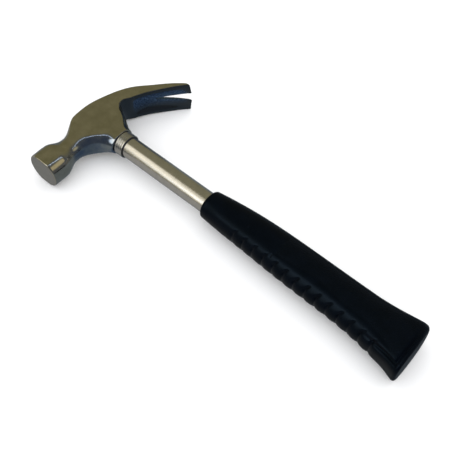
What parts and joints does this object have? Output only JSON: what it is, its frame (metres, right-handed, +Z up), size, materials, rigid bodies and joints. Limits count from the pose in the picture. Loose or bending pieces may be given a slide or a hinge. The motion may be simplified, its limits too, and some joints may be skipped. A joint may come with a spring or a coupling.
{
  "type": "claw hammer",
  "caption": "Curved-claw carpenter's hammer with a forged steel head, a tubular steel shank, a collar below the socket and a flared, ribbed rubber grip.",
  "frame": {"origin": "middle of the hammer's box, on the surface that it lies on", "axes": "+X down the shank towards the grip's butt, +Y from the striking face towards the claw, +Z up out of the upper cheek"},
  "size_m": [0.322, 0.136, 0.0295],
  "materials": {
    "forged_steel": "polished forged steel with a warm bronze cast, dark in the claw's hollow, matt grey on the striking face",
    "plated_tube": "satin nickel-chrome plate with fine lines along the tube",
    "plated_collar": "bright plated ferrule with shallow turned grooves",
    "seal_rubber": "matt black rubber ring",
    "core_wood": "turned hardwood, end grain at the crown",
    "wedge_steel": "turned steel, dull",
    "plug_plastic": "moulded black plastic",
    "grip_rubber": "blue-black moulded rubber with ribs on the face side and stippled side panels"
  },
  "bodies": {
    "root": {"head": "forged_steel", "shank_tube": "plated_tube", "collar": "plated_collar", "socket_washer": "seal_rubber", "collar_seal": "seal_rubber", "core_plug": "core_wood", "expander_wedge": "wedge_steel", "tube_end_plug": "plug_plastic", "grip": "grip_rubber"}
  },
  "joints": []
}
